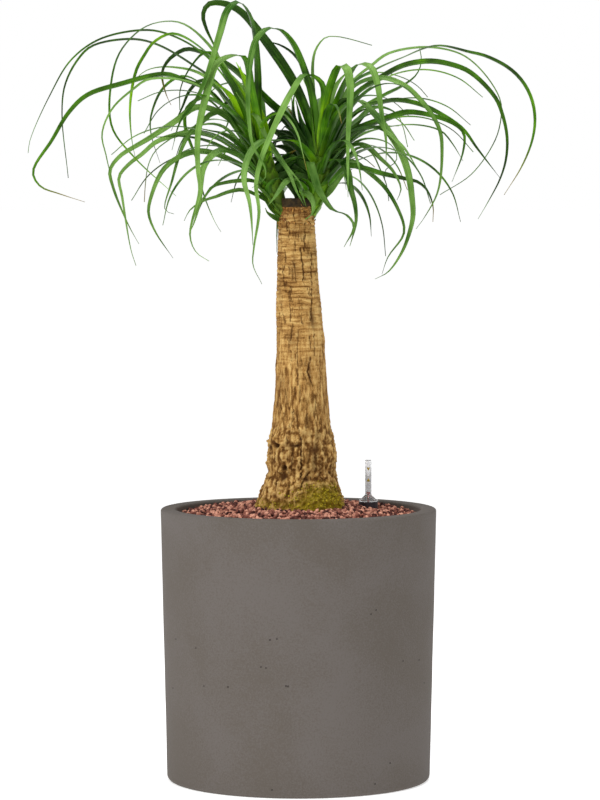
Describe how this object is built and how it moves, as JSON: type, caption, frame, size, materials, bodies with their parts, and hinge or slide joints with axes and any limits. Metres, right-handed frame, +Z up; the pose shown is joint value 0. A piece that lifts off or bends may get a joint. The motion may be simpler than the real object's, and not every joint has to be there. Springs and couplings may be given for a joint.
{
  "type": "potted ponytail palm",
  "caption": "Sawn ponytail palm cane with leafy shoots of long arching leaves, in a round planter filled with clay granules, with a float water gauge.",
  "frame": {"origin": "centre of the planter's flat underside", "axes": "+Z up along the cane, -Y towards the front of the picture"},
  "size_m": [0.7349, 0.566, 1.1263],
  "materials": {
    "fibre_clay": "matte",
    "clay_granule": "matte",
    "soil": "matte",
    "bark": "matte",
    "wound_wax": "satin",
    "leaf": "satin",
    "gauge_black": "satin",
    "gauge_clear": "gloss",
    "float_foam": "matte",
    "pointer_red": "gloss"
  },
  "bodies": {
    "root": {"planter": "fibre_clay", "granules": "clay_granule", "root_ball": "soil", "trunk": "bark", "cut_seal": "wound_wax", "head_left": "leaf", "head_right": "leaf", "head_back": "leaf", "gauge_housing": "gauge_black", "gauge_cap": "gauge_clear"},
    "float": {"gauge_float": "float_foam", "gauge_pointer": "pointer_red"}
  },
  "joints": [
    {"name": "float_rise", "type": "slide", "parent": "root", "child": "float", "axis": [0, 0, 1], "range_m": [0, 0.038]}
  ]
}
